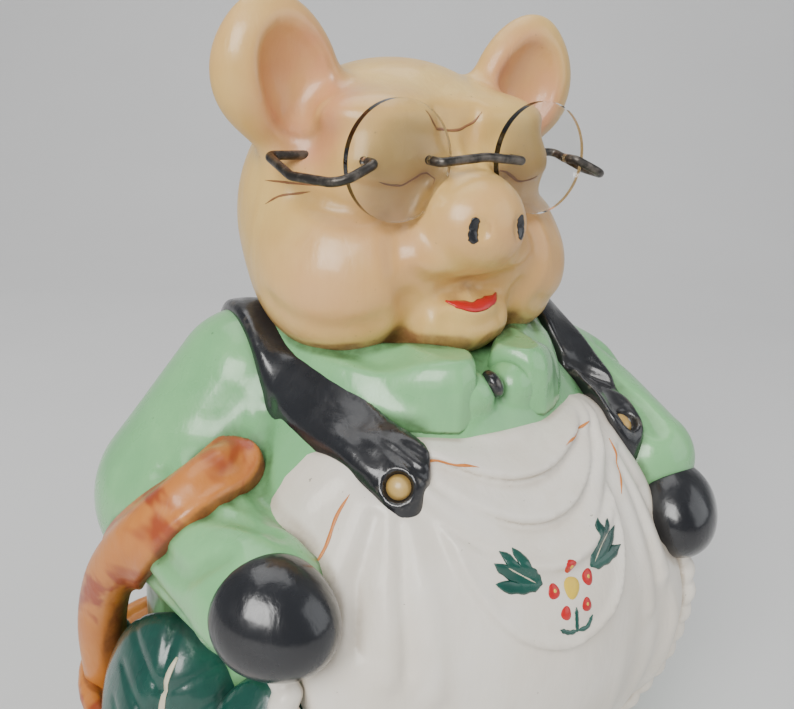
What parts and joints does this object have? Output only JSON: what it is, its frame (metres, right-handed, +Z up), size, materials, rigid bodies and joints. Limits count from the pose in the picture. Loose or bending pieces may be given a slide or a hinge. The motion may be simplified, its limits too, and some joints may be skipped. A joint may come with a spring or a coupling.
{
  "type": "painted pig figurine",
  "caption": "Hollow painted pig figure in blouse and apron with a basket of leaves on one arm and loose wire spectacles that tip up.",
  "frame": {"origin": "on the flat base, under the middle of the body", "axes": "+Z up, -Y the way the pig faces, +X to the pig's own left"},
  "size_m": [0.1385, 0.1222, 0.1888],
  "materials": {
    "blouse": "mint green paint, semi-gloss, brushed by hand",
    "skin": "warm peach paint with pinker hollows, satin",
    "lip_red": "red paint, satin",
    "black_paint": "black paint, glossy",
    "apron_cream": "cream white paint with darker folds, satin",
    "button_gold": "ochre gold paint, satin",
    "basket_brown": "orange brown paint with dark strokes",
    "leaf_green": "deep green paint with cream veins, glossy",
    "lens_clear": "clear polished sheet plastic",
    "dark_wire": "dark oxidised wire"
  },
  "bodies": {
    "figure": {"torso_shell": "blouse", "head_shell": "skin", "ear_right": "skin", "ear_left": "skin", "snout": "skin", "lower_lip": "lip_red", "collar": "blouse", "blouse_button": "black_paint", "apron": "apron_cream", "apron_pocket": "apron_cream", "apron_ruffle": "apron_cream", "strap_right": "black_paint", "strap_left": "black_paint", "strap_button_right": "button_gold", "strap_button_left": "button_gold", "arm_right": "blouse", "arm_left": "blouse", "trotter_right": "black_paint", "trotter_left": "black_paint", "basket": "basket_brown", "basket_handle": "basket_brown", "leaf_front": "leaf_green", "leaf_outer": "leaf_green", "leaf_back": "leaf_green"},
    "spectacles": {"lens_right": "lens_clear", "lens_left": "lens_clear", "bridge_wire": "dark_wire", "temple_wire_right": "dark_wire", "temple_wire_left": "dark_wire"}
  },
  "joints": [
    {"name": "spectacles_tip", "type": "hinge", "parent": "figure", "child": "spectacles", "pos_m": [0, -0.005, 0.1585], "axis": [-1, 0, 0], "range_deg": [0, 40]}
  ]
}
